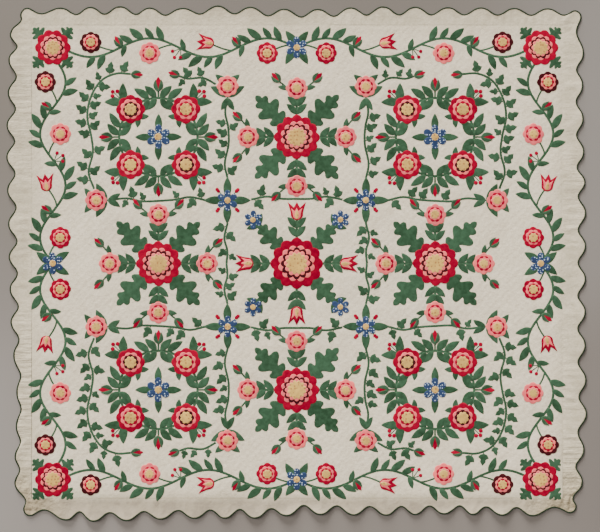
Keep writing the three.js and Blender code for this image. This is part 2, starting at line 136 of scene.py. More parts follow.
# Lights: a low soft light from beyond the quilt's top edge, which shows the quilting and shades the floor
# under the bottom scallops, a weak one from the left, a high one, and warm even light from all round.
for name, towards, strength, softness in [
    ("low_light", (0.22, -1, -0.23), 11.6, 24),
    ("side_light", (1, -0.3, -0.75), 2.4, 30),
    ("high_light", (0.3, -0.5, -1.6), 0.95, 25),
]:
    light = bpy.data.lights.new(name, "SUN")
    light.energy = strength
    light.angle = math.radians(softness)
    light.color = (0.985, 0.993, 1)
    lamp = bpy.data.objects.new(name, light)
    lamp.rotation_euler = Vector(towards).to_track_quat("-Z", "Y").to_euler()
    bpy.context.collection.objects.link(lamp)
world = bpy.data.worlds.new("studio")
world.use_nodes = True
world.node_tree.nodes["Background"].inputs["Color"].default_value = (1, 0.955, 0.91, 1)
world.node_tree.nodes["Background"].inputs["Strength"].default_value = 0.46
bpy.context.scene.world = world

# Cut edge: the quilt is cut to scallops by hand, so the tips wander. Along is a share of the side,
# counter-clockwise. There the tips lie inward of a rectangle and slide from even spacing, and depth is
# from a tip to its hollow, all in millimetres. Lift is how high a side's tips stand off the floor.
QUILT_WIDTH = 2730
QUILT_LENGTH = 2425
CORNER_RADIUS = 60
SIDES = [
    {
        "name": "bottom",
        "scallops": 17,
        "lift": 13,
        "along": [0, 0.06, 0.12, 0.3, 0.42, 0.5, 0.64, 0.78, 0.86, 0.94, 1],
        "inward": [16, 5, 0, 12, 14, 32, 27, 34, 29, 25, 30],
        "slide": [0, 43, 21, 38, 16, 18, 24, -10, -42, -52, 0],
        "depth": [40, 40, 38, 38, 40, 40, 40, 36, 36, 36, 36],
    },
    {
        "name": "right",
        "scallops": 15,
        "lift": 4,
        "along": [0, 0.06, 0.13, 0.2, 0.34, 0.62, 0.73, 0.86, 0.93, 1],
        "inward": [41, 20, 12, 0, 6, 4, 13, 18, 14, 18],
        "slide": [0, -15, -22, -9, 0, -7, -33, -34, -41, 0],
        "depth": [34, 34, 34, 34, 34, 34, 32, 30, 30, 30],
    },
    {
        "name": "top",
        "scallops": 17,
        "lift": 3,
        "along": [0, 0.06, 0.23, 0.35, 0.5, 0.65, 0.72, 0.83, 0.94, 1],
        "inward": [14, 13, 8, 4, 17, 0, 13, 3, 10, 2],
        "slide": [0, 0, 6, 2, 0, 6, 22, 0, -28, 0],
        "depth": [28, 30, 33, 36, 34, 34, 30, 34, 30, 30],
    },
    {
        "name": "left",
        "scallops": 16,
        "lift": 5,
        "along": [0, 0.05, 0.12, 0.29, 0.5, 0.62, 0.76, 0.83, 0.92, 1],
        "inward": [60, 18, 11, 0, 12, 20, 48, 45, 35, 72],
        "slide": [0, -24, -55, -47, -23, -14, 21, 28, 8, 0],
        "depth": [34, 34, 34, 36, 36, 34, 19, 19, 25, 30],
    },
]


def eased(side, key, along):
    """A value of a side's table, easing from each of its rows to the next."""
    rows = np.array(side["along"])
    step = np.clip(np.searchsorted(rows, along), 1, len(rows) - 1)
    t = (along - rows[step - 1]) / (rows[step] - rows[step - 1])
    values = np.array(side[key], float)
    return values[step - 1] + (values[step] - values[step - 1]) * t * t * (3 - 2 * t)


def turned(points, quarter):
    """Points turned by quarter turns about the middle of the quilt."""
    c, s = [(1, 0), (0, 1), (-1, 0), (0, -1)][quarter % 4]
    return points @ np.array([[c, s], [-s, c]])


def cut_side(quarter, along):
    """Points of one side's scalloped edge and their lift, at shares of its length."""
    side = SIDES[quarter]
    half_long, half_short = QUILT_WIDTH / 2, QUILT_LENGTH / 2
    if quarter % 2:
        half_long, half_short = half_short, half_long
    arc = math.pi / 4 * CORNER_RADIUS
    straight = 2 * (half_long - CORNER_RADIUS)
    distance = (along + eased(side, "slide", along) / (2 * half_long)) * (straight + 2 * arc)
    past = np.where(distance < arc, distance - arc, np.maximum(0, distance - arc - straight))
    angle = past / CORNER_RADIUS - math.pi / 2
    outward = np.stack([np.cos(angle), np.sin(angle)], 1)
    middle = np.clip(distance - arc, 0, straight) - straight / 2
    points = np.stack([middle, np.full_like(middle, CORNER_RADIUS - half_short)], 1) + CORNER_RADIUS * outward
    phase = 2 * math.pi * side["scallops"] * along
    wave = np.cos(phase) + 0.2 * np.sin(phase) ** 2
    points += outward * (eased(side, "depth", along) / 2 * (wave - 1))[:, None]
    before = SIDES[quarter - 1]["inward"][-1]
    after = SIDES[(quarter + 1) % 4]["inward"][0]
    points += np.stack([before * (1 - along) - after * along, eased(side, "inward", along)], 1)
    slow = 0.62 + 0.38 * np.sin(math.pi * (5.1 * along + 0.7 * quarter))
    near_end = np.sin(math.pi / 2 * np.minimum(1, 8 * np.minimum(along, 1 - along)))
    return turned(points, quarter), side["lift"] * slow * (0.6 + 0.4 * wave) * near_end


close_points = np.vstack([cut_side(q, np.linspace(0, 1, 3001)[:-1])[0] for q in range(4)])
edge_middle = (close_points.min(axis=0) + close_points.max(axis=0)) / 2


def cut_edge(counts):
    """The whole edge, counter-clockwise from its lower left tip, with outward directions and lift."""
    sides = [cut_side(q, np.arange(n) / n) for q, n in enumerate(counts)]
    points = np.vstack([p for p, _ in sides]) - edge_middle
    along = np.roll(points, -1, axis=0) - np.roll(points, 1, axis=0)
    along /= np.linalg.norm(along, axis=1)[:, None]
    return points, np.stack([along[:, 1], -along[:, 0]], 1), np.concatenate([l for _, l in sides])


# Applique pattern: the outlines that are cut from card, drawn round on the cloth and cut out.
# Each has its root at the origin and points along +X, in millimetres.
STEM_WIDTH = 12
THIN_STEM_WIDTH = 8.5
BERRY_STEM_WIDTH = 5


def leaf(length, width, bow=0.0):
    """A pointed leaf, whose middle may bow to one side."""
    t = np.linspace(0, 1, 15)
    half = 0.5 * width * np.sin(math.pi * t**0.86).clip(0) ** 0.8
    middle = bow * width * np.sin(math.pi * t)
    upper = np.stack([t * length, middle + half], 1)
    lower = np.stack([t * length, middle - half], 1)[1:-1]
    return np.vstack([lower, upper[::-1]])


def smoothed(corners, steps=3):
    """A closed curve through the corners, rounded at all but the sharp ones."""
    points = np.array([c[:2] for c in corners], float)
    sharp = [len(c) > 2 for c in corners]
    before, after = np.roll(points, 1, axis=0), np.roll(points, -1, axis=0)
    slopes = np.where(np.array(sharp)[:, None], 0, (after - before) / 2)
    out = []
    for i in range(len(points)):
        j = (i + 1) % len(points)
        for t in np.arange(steps) / steps:
            hold, leave = 2 * t**3 - 3 * t**2 + 1, t**3 - 2 * t**2 + t
            reach, arrive = 3 * t**2 - 2 * t**3, t**3 - t**2
            out.append(hold * points[i] + leave * slopes[i] + reach * points[j] + arrive * slopes[j])
    return np.array(out)


# Half of a lobed leaf from foot to tip, as shares of its length and width: two lobes that lean forward, a
# lesser one and a tip.
LOBED_LEAF = [
    (0.05, 0.07), (0.11, 0.15), (0.17, 0.26), (0.23, 0.355), (0.285, 0.375), (0.325, 0.32), (0.342, 0.17),
    (0.4, 0.24), (0.46, 0.38), (0.525, 0.48), (0.585, 0.495), (0.63, 0.44), (0.648, 0.33), (0.652, 0.185),
    (0.7, 0.2), (0.745, 0.27), (0.795, 0.3), (0.835, 0.27), (0.856, 0.2), (0.862, 0.12), (0.91, 0.125),
    (0.965, 0.08),
]


def lobed_leaf(length, width, stalk=0):
    upper = [(x * length, y * width) for x, y in LOBED_LEAF]
    lower = [(x, -y) for x, y in upper]
    half = STEM_WIDTH / 2
    foot = [(-stalk, half, "sharp"), (-stalk, -half, "sharp")]
    return smoothed(foot + lower + [(length, 0)] + upper[::-1], 2)


# Half of a small three-pointed leaf from its foot, as shares of its length and width.
POINTED_LEAF = [(0.02, 0.1), (0.12, 0.34), (0.34, 0.5, "sharp"), (0.5, 0.24), (0.66, 0.27), (0.84, 0.14)]


def three_pointed_leaf(length, width):
    upper = [(p[0] * length, p[1] * width, *p[2:]) for p in POINTED_LEAF]
    lower = [(x, -y, *rest) for x, y, *rest in upper]
    return smoothed(lower + [(length, 0, "sharp")] + upper[::-1], 2)


# Half of a tulip from its foot, as shares of its size.
TULIP = [(0, 0), (0.16, 0.3), (0.52, 0.36), (1, 0.5, "sharp"), (0.7, 0.17, "sharp")]


def tulip(size):
    right = [(p[0] * size, -p[1] * size, *p[2:]) for p in TULIP]
    left = [(x, -y, *rest) for x, y, *rest in right[:0:-1]]
    return smoothed(right + [(1.02 * size, 0, "sharp")] + left)


def rosette(radius, petals, notch, turn=0.0, points=9):
    """A round of rounded petals."""
    angle = 2 * math.pi * np.arange(petals * points) / (petals * points)
    reach = radius * (1 - notch + notch * np.abs(np.cos(petals * angle / 2)) ** 0.75)
    return reach[:, None] * np.stack([np.cos(angle + turn), np.sin(angle + turn)], 1)


def star(radius, petals=6, points=10):
    """A flower of separate petals that meet at its middle."""
    angle = 2 * math.pi * np.arange(petals * points) / (petals * points)
    reach = radius * (0.42 + 0.58 * np.abs(np.cos(petals * angle / 2)) ** 0.6)
    return reach[:, None] * np.stack([np.cos(angle), np.sin(angle)], 1)


def stem(line, width):
    """A bias-cut strip of even width along a line."""
    line = np.asarray(line, float)
    along = np.gradient(line, axis=0)
    along /= np.linalg.norm(along, axis=1)[:, None]
    across = np.stack([-along[:, 1], along[:, 0]], 1) * width / 2
    return np.vstack([line - across, (line + across)[::-1]])


def placed(outline, x, y, angle):
    c, s = math.cos(angle), math.sin(angle)
    return outline @ np.array([[c, s], [-s, c]]) + (x, y)


def polar(x, y, radius, angle):
    return x + radius * math.cos(angle), y + radius * math.sin(angle)


# Pattern layout: every patch is noted with its block or border, its cloth, its layer (0 for stems, which
# are sewn on first, up to 5 for the middle of a rose) and its outline on the quilt.
# Each is cut and laid by hand, so it is a little off its pattern and its place.
CUT_OFF_SHARES = (0.012, 0.01)
LAID_OFF_MM = 0.6
TURNED_OFF_RADIANS = 0.012
patches = []
hand = np.random.default_rng(7)


def hand_cut(outline):
    """The outline as scissors and needle leave it, a little off the pattern and a little turned."""
    middle = outline.mean(axis=0)
    away = outline - middle
    angle = np.arctan2(away[:, 1], away[:, 0])
    first, second = hand.uniform(0, 2 * math.pi, 2)
    oval, three_sided = CUT_OFF_SHARES
    away = away * (1 + oval * np.sin(2 * angle + first) + three_sided * np.sin(3 * angle + second))[:, None]
    return placed(away, *(middle + hand.normal(0, LAID_OFF_MM, 2)), hand.normal(0, TURNED_OFF_RADIANS))


def lay(group, cloth, layer, outline, x=0, y=0, angle=0.0):
    outline = hand_cut(placed(outline, x, y, angle))
    patches.append({"group": group, "cloth": cloth, "layer": layer, "outline": outline, "spine": None})


def lay_leaf(group, outline, x=0, y=0, angle=0.0):
    lay(group, "green", 1, outline, x, y, angle)


def lay_stem(group, line, width):
    """A stem is laid as it is, because its ends are under other patches."""
    line = np.asarray(line, float)
    outline = stem(line, width)
    patches.append({"group": group, "cloth": "green", "layer": 0, "outline": outline, "spine": line})


def lay_rose(group, x, y, radius, petals, turn=0.0, dark=False, pale=False, ring="red", outer="red"):
    """A rose of stacked rounds of petals: a dark one has a thin brown round inside its pink one."""
    cloths = ["pink", "red", "pink", "tan"] if pale else [outer, "pink", ring, "tan"]
    rounds = [(1, 0.15, 0), (0.71, 0.17, math.pi / petals), (0.56, 0.19, 0), (0.42, 0.22, math.pi / petals)]
    if dark:
        cloths[2:3] = ["brown", "pink"]
        rounds[2:3] = [(0.62, 0.2, 0), (0.51, 0.2, 0)]
    for layer, (cloth, (share, notch, more)) in enumerate(zip(cloths, rounds), 2):
        lay(group, cloth, layer, rosette(radius * share, petals, notch, turn + more), x, y)


def lay_bud(group, x, y, angle, size):
    lay(group, "red", 2, leaf(size, size * 0.42), x, y, angle)
    for way in (-1, 1):
        lay(group, "green", 3, leaf(size * 0.86, size * 0.27, 0.42 * way), x, y, angle + 0.22 * way)


def lay_tulip(group, x, y, angle, size):
    lay(group, "red", 2, tulip(size), x, y, angle)
    lay(group, "pink", 3, tulip(size * 0.62), *polar(x, y, 0.05 * size, angle), angle)
    lay(group, "tan", 4, leaf(size * 0.5, size * 0.22), *polar(x, y, 0.04 * size, angle), angle)


def lay_berries(group, x, y, angle, radius, spread, reach):
    for k in (-1, 0, 1):
        tip = polar(x, y, reach * (1 if k == 0 else 0.82), angle + k * spread)
        lay_stem(group, [(x, y), tip], BERRY_STEM_WIDTH)
        lay(group, "red", 2, rosette(radius, 12, 0, 0, 2), *tip)


def lay_star(group, x, y, radius):
    lay(group, "blue", 2, star(radius), x, y, math.pi / 6)
    lay(group, "tan", 3, rosette(0.3 * radius, 8, 0.12, 0, 4), x, y)


# Corner blocks: a ring of green bias strip with a red and pink rose on each diagonal and a bud on each axis,
# leaves on both sides, berries past the roses and a blue flower in the middle. The ring is sewn on first.
BLOCK_PITCH_X = 650
BLOCK_PITCH_Y = 594
WREATH_RADIUS = 184
WREATH_ROSE_RADIUS = 68
SMALL_ROSE_RADIUS = 51


def wreath_block(group, x, y):
    angles = np.linspace(0, 2 * math.pi, 73)
    ring = np.stack([x + WREATH_RADIUS * np.cos(angles), y + WREATH_RADIUS * np.sin(angles)], 1)
    lay_stem(group, ring[:37], STEM_WIDTH)
    lay_stem(group, ring[36:], STEM_WIDTH)
    for quarter in range(4):
        axis = quarter * math.pi / 2
        diagonal = axis + math.pi / 4
        for way in (-1, 1):
            for turn, outer, inner in [(0.05, 78, 72), (0.24, 86, 68)]:
                root = polar(x, y, WREATH_RADIUS, axis + way * turn)
                lay_leaf(group, leaf(outer, 36, -0.08 * way), *root, axis + way * (turn + 0.72))
                lay_leaf(group, leaf(inner, 32, 0.08 * way), *root, axis + math.pi + way * (turn - 0.72))
            root = polar(x, y, WREATH_RADIUS + 40, diagonal)
            lay_leaf(group, leaf(96, 40, -0.1 * way), *root, diagonal + way * 0.72)
            root = polar(x, y, WREATH_RADIUS - 46, diagonal)
            lay_leaf(group, leaf(54, 26, 0.1 * way), *root, diagonal + math.pi - way * 0.8)
        line = [polar(x, y, WREATH_RADIUS + d, axis) for d in (0, 40)]
        lay_stem(group, line, THIN_STEM_WIDTH)
        lay_bud(group, *polar(x, y, WREATH_RADIUS + 30, axis), axis, 68)
        lay_berries(group, *polar(x, y, WREATH_RADIUS + 58, diagonal), diagonal, 9, 0.34, 60)
        ring = "brown" if quarter % 2 else "red"
        lay_rose(group, *polar(x, y, WREATH_RADIUS, diagonal), WREATH_ROSE_RADIUS, 8, diagonal, ring=ring)
        lay_leaf(group, leaf(84, 34), *polar(x, y, 26, axis), axis)
    lay_star(group, x, y, 58)


# Side blocks: a large red rose in five rounds, with lobed green leaves on the diagonals. A stem on each axis
# carries a pale pink rose, and a bud curls off at each side of it.
CROSS_ROSE_RADIUS = 106


def cross_block(group, x, y):
    for quarter in range(4):
        axis = quarter * math.pi / 2
        diagonal = axis + math.pi / 4
        lay_leaf(group, lobed_leaf(206, 124, 70), *polar(x, y, 70, diagonal), diagonal)
        lay_stem(group, [(x, y), polar(x, y, 215, axis)], STEM_WIDTH)
        for way in (-1, 1):
            for start, length in [(108, 68), (146, 62)]:
                lay_leaf(group, leaf(length, 30, -0.08 * way), *polar(x, y, start, axis), axis + way * 0.78)
            t = np.linspace(0, 1, 12)
            curl = placed(np.stack([168 + 90 * t, way * 78 * t**1.5], 1), x, y, axis)
            lay_stem(group, curl, THIN_STEM_WIDTH)
            lay_leaf(group, leaf(50, 23, -0.08 * way), *curl[7], axis + way * 1.35)
            lay_bud(group, *curl[-1], axis + way * 0.75, 60)
        lay_rose(group, *polar(x, y, 230, axis), SMALL_ROSE_RADIUS, 8, axis, pale=True)
    lay_rose(group, x, y, CROSS_ROSE_RADIUS, 12, dark=True)


# Middle block: the largest red rose, with a tulip of red, pink and tan cotton on each axis. Each diagonal has
# a lobed leaf over its stem, and a flower of blue calico past the leaf.
CENTRE_ROSE_RADIUS = 122


def centre_block(group, x, y):
    for quarter in range(4):
        axis = quarter * math.pi / 2
        diagonal = axis + math.pi / 4
        lay_stem(group, [(x, y), polar(x, y, 215, axis)], STEM_WIDTH)
        lay_stem(group, [(x, y), polar(x, y, 280, diagonal)], STEM_WIDTH)
        lay_leaf(group, lobed_leaf(176, 104, 20), *polar(x, y, 88, diagonal), diagonal)
        for way in (-1, 1):
            for start, length in [(128, 64), (168, 66)]:
                lay_leaf(group, leaf(length, 30, -0.08 * way), *polar(x, y, start, axis), axis + way * 0.72)
            lay_leaf(group, leaf(60, 27, -0.08 * way), *polar(x, y, 250, diagonal), diagonal + way)
        lay_tulip(group, *polar(x, y, 204, axis), axis, 84)
        lay_star(group, *polar(x, y, 290, diagonal), 44)
    lay_rose(group, x, y, CENTRE_ROSE_RADIUS, 12, dark=True)


for column, x in enumerate((-BLOCK_PITCH_X, 0, BLOCK_PITCH_X)):
    for row, y in enumerate((-BLOCK_PITCH_Y, 0, BLOCK_PITCH_Y)):
        place_name = f"{'abc'[column]}{row + 1}"
        if column == 1 and row == 1:
            centre_block(f"centre_{place_name}", x, y)
        elif (column + row) % 2 == 0:
            wreath_block(f"wreath_{place_name}", x, y)
        else:
            cross_block(f"cross_{place_name}", x, y)

# Setting: a blue calico flower between each four blocks, on four leaves with berries between them, and leafy
# sprigs with a pale rose between the blocks and the border.
SPRIG_STEM_WIDTH = 8
for x in (-BLOCK_PITCH_X / 2, BLOCK_PITCH_X / 2):
    for y in (-BLOCK_PITCH_Y / 2, BLOCK_PITCH_Y / 2):
        lay_leaf("setting", rosette(30, 4, 0.1), x, y)
        for quarter in range(4):
            axis = quarter * math.pi / 2
            lay_leaf("setting", leaf(94, 38), *polar(x, y, 16, axis), axis)
            lay_berries("setting", *polar(x, y, 18, axis + math.pi / 4), axis + math.pi / 4, 8, 0, 52)
        lay_star("setting", x, y, 50)


def sprig(x, y, angle):
    """A short leafy stem with a pale rose at its end."""
    lay_stem("setting", [polar(x, y, -60, angle), (x, y)], SPRIG_STEM_WIDTH)
    for way in (-1, 1):
        lay_leaf("setting", leaf(94, 38, -0.1 * way), *polar(x, y, -50, angle), angle + way)
        lay_leaf("setting", leaf(80, 34, -0.1 * way), x, y, angle + 0.8 * way)
        lay_leaf("setting", leaf(66, 28, 0.1 * way), *polar(x, y, -54, angle), angle + math.pi - 0.5 * way)
    lay_rose("setting", x, y, SMALL_ROSE_RADIUS, 8, angle, pale=True)


for way in (-1, 1):
    for side in (-1, 1):
        sprig(side * BLOCK_PITCH_X / 2, way * 832, way * math.pi / 2)
        sprig(way * 942, side * BLOCK_PITCH_Y / 2, 0 if way > 0 else math.pi)

# Border: a wavy vine runs along each side from its middle to both corners, with a flower in each
# hollow, leaves on each crest, and a large rose with lobed leaves at each corner.
VINE_X = 1146
VINE_Y = 1014
VINE_WAVES = 4
VINE_END = 40
VINE_LEAVES = [(0.26, 1, 78), (0.43, 1, 66), (0.6, 1, 84), (0.78, 1, 72), (0.9, -1, 60)]
CORNER_ROSE_RADIUS = 84


def vine_half(group, distance, half_length, swing, turn, way):
    """One vine from the middle of a side to a corner: way is 1 or -1 along the side."""

    def wave(along):
        return swing * np.sin(math.pi * VINE_WAVES * along)

    def on_quilt(u, v, angle=0.0):
        direction = turn + (angle if way > 0 else math.pi - angle)
        point = placed(np.array([[way * u, distance + v]]), 0, 0, turn)[0]
        return point[0], point[1], direction

    share = np.linspace(0, 1, 16 * VINE_WAVES + 1)
    line = [on_quilt(u, v)[:2] for u, v in zip(half_length * share, wave(share))]
    lay_stem(group, line, STEM_WIDTH)
    for half in range(VINE_WAVES):
        up = 1 if half % 2 == 0 else -1
        foot = (half + 0.1) / VINE_WAVES
        flower = (half_length * (half + 0.5) / VINE_WAVES, -up * swing * 0.58)
        t = np.linspace(0, 1, 9)
        u = half_length * foot + (flower[0] - half_length * foot) * t
        v = wave(foot) + (flower[1] - wave(foot)) * t**1.6
        lay_stem(group, [on_quilt(a, b)[:2] for a, b in zip(u, v)], THIN_STEM_WIDTH)
        if half % 3 == 1:
            lay_tulip(group, *on_quilt(flower[0] - 26, flower[1] + up * 8, -up * 0.15), 80)
        else:
            x, y, angle = on_quilt(*flower)
            outer = "brown" if half == 3 else "red"
            lay_rose(group, x, y, SMALL_ROSE_RADIUS, 8, angle, pale=half == 2, outer=outer)
        for along, side, length in VINE_LEAVES:
            if half == VINE_WAVES - 1 and along > 0.5:
                continue
            share = (half + along) / VINE_WAVES
            rise = swing * math.pi * VINE_WAVES / half_length * math.cos(math.pi * VINE_WAVES * share)
            root = on_quilt(half_length * share, wave(share), math.atan(rise) + up * side * 0.8)
            lay_leaf(group, leaf(length, 0.42 * length, -0.08 * up * side * way), *root)
        if half < VINE_WAVES - 1:
            share = (half + 0.97) / VINE_WAVES
            root = on_quilt(half_length * share, wave(share), up * 0.95)
            if half % 2:
                lay_berries(group, *root, 8, 0.6, 50)
            else:
                lay_bud(group, *root, 60)


for group, distance, half_length, swing, turn in [
    ("vine_top", VINE_Y, VINE_X - VINE_END, 44, 0),
    ("vine_left", VINE_X, VINE_Y - VINE_END, 60, math.pi / 2),
    ("vine_bottom", VINE_Y, VINE_X - VINE_END, 44, math.pi),
    ("vine_right", VINE_X, VINE_Y - VINE_END, 60, -math.pi / 2),
]:
    for way in (-1, 1):
        vine_half(group, distance, half_length, swing, turn, way)
    x, y = placed(np.array([[0.0, distance]]), 0, 0, turn)[0]
    for way in (-1, 1):
        lay_leaf(group, leaf(94, 38, -0.1 * way), x, y, turn + math.pi / 2 + way * 0.6)
        lay_leaf(group, leaf(94, 38, 0.1 * way), x, y, turn - math.pi / 2 + way * 0.6)
    lay_star(group, x, y, 52)
for x in (-VINE_X, VINE_X):
    for y in (-VINE_Y, VINE_Y):
        for quarter in range(4):
            diagonal = (quarter + 0.5) * math.pi / 2
            lay_leaf("corners", lobed_leaf(84, 76), *polar(x, y, 48, diagonal), diagonal)
        lay_rose("corners", x, y, CORNER_ROSE_RADIUS, 10, dark=True)

# Trailing vines: thin stems run through the gaps between the blocks, with small leaves wherever the ground is
# free. Each is drawn here for one quarter of the quilt and laid in all four. Two end in a bud.
TRAILING_WIDTH = 11
TRAILING_LEAF = 52
TRAILING_PITCH = 27
TRAILING_START = 14
TRAILING_LEAN = 1.05
STALK_WIDTH = 5
LEAF_GAP = 6
TRAILING_VINES = [
    ([(325, 400), (338, 470), (320, 560), (322, 640), (336, 710), (325, 775)], False),
    ([(430, 297), (500, 312), (570, 300), (650, 294), (730, 292), (800, 306), (885, 297)], False),
    ([(325, 190), (340, 120), (326, 60), (330, 0)], False),
    ([(215, 300), (140, 314), (70, 304), (0, 303)], False),
    (
        [(952, 350), (978, 430), (958, 520), (966, 600), (984, 690)]
        + [(968, 780), (920, 858), (850, 892), (780, 890)],
        True,
    ),
    ([(380, 842), (440, 872), (510, 868), (550, 880)], True),
]


def open_curve(points, steps=6):
    """A smooth line through the points."""
    p = np.array(points, float)
    p = np.vstack([2 * p[0] - p[1], p, 2 * p[-1] - p[-2]])
    t = (np.arange(steps) / steps)[:, None]
    parts = [
        b + ((c - a) * t + (2 * a - 5 * b + 4 * c - d) * t**2 + (3 * b - a - 3 * c + d) * t**3) / 2
        for a, b, c, d in zip(p, p[1:], p[2:], p[3:])
    ]
    return np.vstack([*parts, p[-2:-1]])


def inside(outline, points):
    """Which of the points are inside a closed outline."""
    a, b = outline, np.roll(outline, -1, axis=0)
    x, y = points[:, :1], points[:, 1:]
    crosses = (a[:, 1] > y) != (b[:, 1] > y)
    rise = np.where(a[:, 1] == b[:, 1], 1, b[:, 1] - a[:, 1])
    return (crosses & (x < a[:, 0] + (y - a[:, 1]) * (b[:, 0] - a[:, 0]) / rise)).sum(axis=1) % 2 == 1


def has_room(outline, laid, lows, highs):
    """Whether an outline lies clear of every patch that is already laid."""
    low, high = outline.min(axis=0) - LEAF_GAP, outline.max(axis=0) + LEAF_GAP
    for number in np.nonzero(((lows < high) & (highs > low)).all(axis=1))[0]:
        other = laid[number]
        if inside(other, outline).any() or inside(outline, other).any():
            return False
        if np.linalg.norm(outline[:, None] - other[None], axis=2).min() < LEAF_GAP:
            return False
    return True


laid = [patch["outline"] for patch in patches]
for points, ends_in_bud in TRAILING_VINES:
    for mirror in [(1, 1), (-1, 1), (-1, -1), (1, -1)]:
        line = open_curve(np.array(points) * mirror)
        lay_stem("trailing", line, TRAILING_WIDTH)
        if ends_in_bud:
            run = line[-1] - line[-2]
            lay_bud("trailing", *line[-1], math.atan2(run[1], run[0]), 58)
            laid += [patch["outline"] for patch in patches[-3:]]
        lows = np.array([outline.min(axis=0) for outline in laid])
        highs = np.array([outline.max(axis=0) for outline in laid])
        lengths = np.concatenate([[0], np.cumsum(np.linalg.norm(np.diff(line, axis=0), axis=1))])
        for number, distance in enumerate(np.arange(TRAILING_START, lengths[-1], TRAILING_PITCH)):
            x, y = (np.interp(distance, lengths, line[:, k]) for k in (0, 1))
            ahead_x, ahead_y = (np.interp(distance + 4, lengths, line[:, k]) for k in (0, 1))
            heading = math.atan2(ahead_y - y, ahead_x - x) + (1 if number % 2 else -1) * TRAILING_LEAN
            root = polar(x, y, 0.5 * TRAILING_WIDTH + 5, heading)
            for size in (1.1, 0.95, 0.8):
                leaf_outline = three_pointed_leaf(TRAILING_LEAF * size, 0.86 * TRAILING_LEAF * size)
                if has_room(placed(leaf_outline, *root, heading), laid, lows, highs):
                    lay_stem("trailing", [(x, y), polar(*root, 8, heading)], STALK_WIDTH)
                    lay_leaf("trailing", leaf_outline, *root, heading)
                    laid.append(patches[-1]["outline"])
                    lows = np.vstack([lows, laid[-1].min(axis=0)])
                    highs = np.vstack([highs, laid[-1].max(axis=0)])
                    break


# Quilted cloth: cotton top, thin wadding and cotton back, sewn together in crossed diagonal lines over the
# whole field, so that the cloth stands up between the lines of stitches. A plain strip is seamed on all
# round, and sewing has pulled it into ripples. Its seam lies deeper towards the bottom.
FIELD_WIDTH = 2480
FIELD_LENGTH = 2236
CELLS_ACROSS = 256
CELLS_DOWN = 224
CELLS_PER_DIAMOND = 4
BORDER_RINGS = 18
UNDER_RINGS = 4
STITCHED_MM = 3.6
PUFF_MM = 1.7
PATCH_PADDING_MM = 0.3
PADDING_REACH_MM = 12
CLEAR_OF_PATCH_MM = 16
CLEAR_OF_SEAM_MM = 12
RIPPLE_MM = 0.8
RIPPLE_PITCH_MM = 41
SEAM_DEPTH_MM = 0.15
SEAM_DEEPER_MM = 0.55
SEAM_WIDTH_MM = 7
CREASE_SCALE = 1.7
BINDING_WIDTH = 6
MAP_STEP_MM = 3
SEAM_MIDDLE = np.array([2.5, 8.5])
SEAM_HALF = np.array([1247.5, 1111.5])


# Two maps of the quilt at 3 mm steps: how far bare cloth is from a patch, and how far in cloth under one is.
map_x = np.arange(-QUILT_WIDTH / 2, QUILT_WIDTH / 2, MAP_STEP_MM)
map_y = np.arange(-QUILT_LENGTH / 2, QUILT_LENGTH / 2, MAP_STEP_MM)
covered = np.zeros((len(map_y), len(map_x)), bool)
for patch in patches:
    if patch["layer"] > 2:
        continue
    low, high = patch["outline"].min(axis=0), patch["outline"].max(axis=0)
    columns = np.arange(*np.searchsorted(map_x, [low[0], high[0]]))
    rows = np.arange(*np.searchsorted(map_y, [low[1], high[1]]))
    grid = np.stack(np.meshgrid(map_x[columns], map_y[rows]), 2)
    hit = inside(patch["outline"], grid.reshape(-1, 2)).reshape(grid.shape[:2])
    covered[rows[0] : rows[-1] + 1, columns[0] : columns[-1] + 1] |= hit


def distance_map(mask, steps):
    """The distance of each cell from the mask in millimetres, up to a few steps."""
    reached = mask.copy()
    distance = np.where(mask, 0.0, steps)
    for step in range(1, steps):
        wider = reached.copy()
        wider[1:] |= reached[:-1]
        wider[:-1] |= reached[1:]
        wider[:, 1:] |= reached[:, :-1]
        wider[:, :-1] |= reached[:, 1:]
        if step % 2 == 0:
            wider[1:, 1:] |= reached[:-1, :-1]
            wider[:-1, 1:] |= reached[1:, :-1]
            wider[1:, :-1] |= reached[:-1, 1:]
            wider[:-1, :-1] |= reached[1:, 1:]
        distance[wider & ~reached] = step
        reached = wider
    for _ in range(2):
        distance[1:-1] = (distance[:-2] + 2 * distance[1:-1] + distance[2:]) / 4
        distance[:, 1:-1] = (distance[:, :-2] + 2 * distance[:, 1:-1] + distance[:, 2:]) / 4
    return distance * MAP_STEP_MM


from_patch = distance_map(covered, 9)
into_patch = distance_map(~covered, 9)


def read_map(values, xs, ys, points):
    """A map's value at any points, read between its cells."""
    u = np.clip((points[:, 0] - xs[0]) / (xs[1] - xs[0]), 0, len(xs) - 1.001)
    v = np.clip((points[:, 1] - ys[0]) / (ys[1] - ys[0]), 0, len(ys) - 1.001)
    i, j = u.astype(int), v.astype(int)
    s, t = u - i, v - j
    near = values[j, i] * (1 - s) + values[j, i + 1] * s
    return near * (1 - t) + (values[j + 1, i] * (1 - s) + values[j + 1, i + 1] * s) * t


# Long swells of a cloth that has been folded and washed: the phase, heading and wavelength of each.
rng = np.random.default_rng(18)
SWELLS = [(rng.uniform(0, 2 * math.pi), rng.uniform(0, math.pi), rng.uniform(110, 420)) for _ in range(12)]

